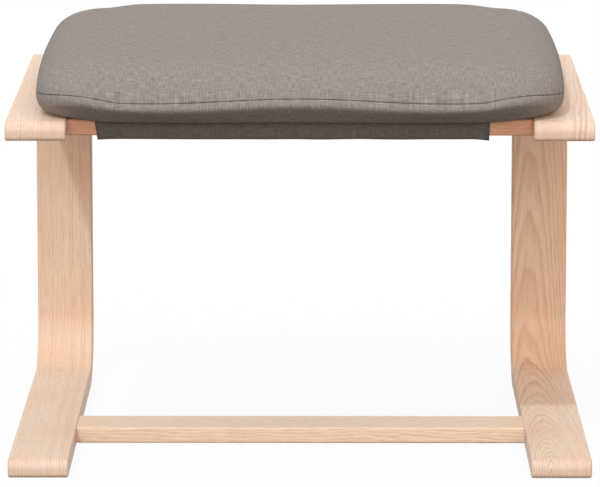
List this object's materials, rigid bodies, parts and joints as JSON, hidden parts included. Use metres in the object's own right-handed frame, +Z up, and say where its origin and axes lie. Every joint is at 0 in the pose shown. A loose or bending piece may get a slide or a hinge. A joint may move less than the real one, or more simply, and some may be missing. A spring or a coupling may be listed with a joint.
{
  "type": "footstool",
  "caption": "Cantilevered footstool: bent laminated side frames with flat runners, cross rails, a cloth sling and a loose zipped cushion.",
  "frame": {"origin": "on the floor, at the middle of the stool's width and depth", "axes": "+Z up, -Y towards the open front where the strips' free ends are, +X towards the right side frame seen from the front"},
  "size_m": [0.54, 0.48, 0.3919],
  "materials": {
    "side_laminate": "clear satin lacquer on beech-like laminate",
    "rail_wood": "clear satin lacquer",
    "zinc_steel": "zinc plated",
    "dowel_wood": "raw, fluted",
    "sling_cloth": "plain woven polyester",
    "hook_tape": "nylon hook tape",
    "loop_tape": "nylon loop tape",
    "foam": "polyurethane foam",
    "cover_cloth": "linen-look weave",
    "zip_cloth": "zip tape",
    "zip_plastic": "moulded",
    "slider_metal": "nickel plated"
  },
  "bodies": {
    "frame": {"left_side_frame": "side_laminate", "right_side_frame": "side_laminate", "front_seat_rail": "rail_wood", "rear_seat_rail": "rail_wood", "floor_stretcher": "rail_wood", "front_rail_bolts": "zinc_steel", "rear_rail_bolts": "zinc_steel", "stretcher_bolts": "zinc_steel", "front_rail_barrel_nuts": "zinc_steel", "rear_rail_barrel_nuts": "zinc_steel", "stretcher_barrel_nuts": "zinc_steel", "front_rail_dowels": "dowel_wood", "rear_rail_dowels": "dowel_wood", "stretcher_dowels": "dowel_wood", "seat_sling": "sling_cloth", "sling_hook_strips": "hook_tape"},
    "cushion": {"cushion_loop_strips": "loop_tape", "foam_core": "foam", "cushion_top_cover": "cover_cloth", "cushion_base_cover": "cover_cloth", "zip_tape": "zip_cloth", "zip_teeth": "zip_plastic", "zip_end_stops": "zip_plastic"},
    "slider": {"zip_slider": "slider_metal"},
    "pull": {"zip_pull": "slider_metal"}
  },
  "joints": [
    {"name": "cushion_lift", "type": "slide", "parent": "frame", "child": "cushion", "axis": [0, 0, 1], "range_m": [0, 0.15]},
    {"name": "zip_slide", "type": "slide", "parent": "cushion", "child": "slider", "axis": [1, 0, 0], "range_m": [-0.0077, 0.2837]},
    {"name": "pull_swing", "type": "hinge", "parent": "slider", "child": "pull", "pos_m": [-0.138, 0.23078, 0.36181], "axis": [0, -0.0227, 0.9997], "range_deg": [0, 180]}
  ]
}
